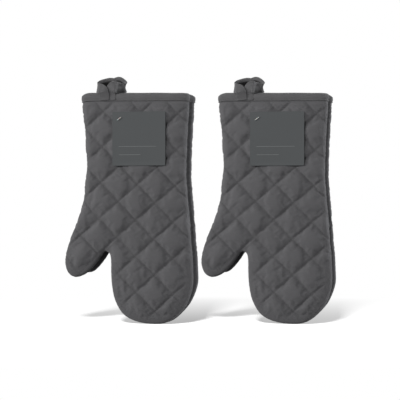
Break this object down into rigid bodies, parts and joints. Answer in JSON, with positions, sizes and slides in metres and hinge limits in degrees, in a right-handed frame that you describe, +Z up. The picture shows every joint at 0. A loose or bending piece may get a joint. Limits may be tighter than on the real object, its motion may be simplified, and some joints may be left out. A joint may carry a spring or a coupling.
{
  "type": "pair of oven mitts",
  "caption": "Two quilted oven mitts held upright at their cuffs, side by side, each with a bound cuff, a thumb, a flopped hanging loop and a plain label card.",
  "frame": {"origin": "midway between the middles of the two cuff openings, at the height of their bound rims", "axes": "+X to the right as the label cards are read, +Y from the fronts to the backs, +Z up out of the cuffs; the fingertips point down"},
  "size_m": [0.3721, 0.0992, 0.3444],
  "materials": {
    "cotton_shell": "matt woven cotton, quilted in diamonds",
    "wadding": "soft felted filling",
    "lining": "matt brushed cloth",
    "binding_tape": "matt woven cotton tape",
    "card": "smooth, slightly satin print",
    "fastener": "milky moulded plastic"
  },
  "bodies": {
    "left_mitt": {"left_front_shell": "cotton_shell", "left_back_shell": "cotton_shell", "left_front_wadding": "wadding", "left_back_wadding": "wadding", "left_front_lining": "lining", "left_back_lining": "lining", "left_front_binding": "binding_tape", "left_back_binding": "binding_tape", "left_loop_base": "binding_tape"},
    "left_loop": {"left_hanging_loop": "binding_tape"},
    "left_label": {"left_label_card": "card", "left_tag_fastener": "fastener"},
    "right_mitt": {"right_front_shell": "cotton_shell", "right_back_shell": "cotton_shell", "right_front_wadding": "wadding", "right_back_wadding": "wadding", "right_front_lining": "lining", "right_back_lining": "lining", "right_front_binding": "binding_tape", "right_back_binding": "binding_tape", "right_loop_base": "binding_tape"},
    "right_loop": {"right_hanging_loop": "binding_tape"},
    "right_label": {"right_label_card": "card", "right_tag_fastener": "fastener"}
  },
  "joints": [
    {"name": "right_mitt_lift", "type": "slide", "parent": "left_mitt", "child": "right_mitt", "axis": [0, 0, 1], "range_m": [0, 0.36]},
    {"name": "left_loop_flop", "type": "hinge", "parent": "left_mitt", "child": "left_loop", "pos_m": [-0.13235, -0.0474, 0.0001], "axis": [1, 0, 0], "range_deg": [0, 90]},
    {"name": "left_label_flip", "type": "hinge", "parent": "left_mitt", "child": "left_label", "pos_m": [-0.0848, -0.04815, -0.026], "axis": [-1, 0, 0], "range_deg": [0, 90]},
    {"name": "right_loop_flop", "type": "hinge", "parent": "right_mitt", "child": "right_loop", "pos_m": [0.05245, 0.0056, 0.0001], "axis": [1, 0, 0], "range_deg": [0, 90]},
    {"name": "right_label_flip", "type": "hinge", "parent": "right_mitt", "child": "right_label", "pos_m": [0.1, 0.00485, -0.026], "axis": [-1, 0, 0], "range_deg": [0, 90]}
  ]
}
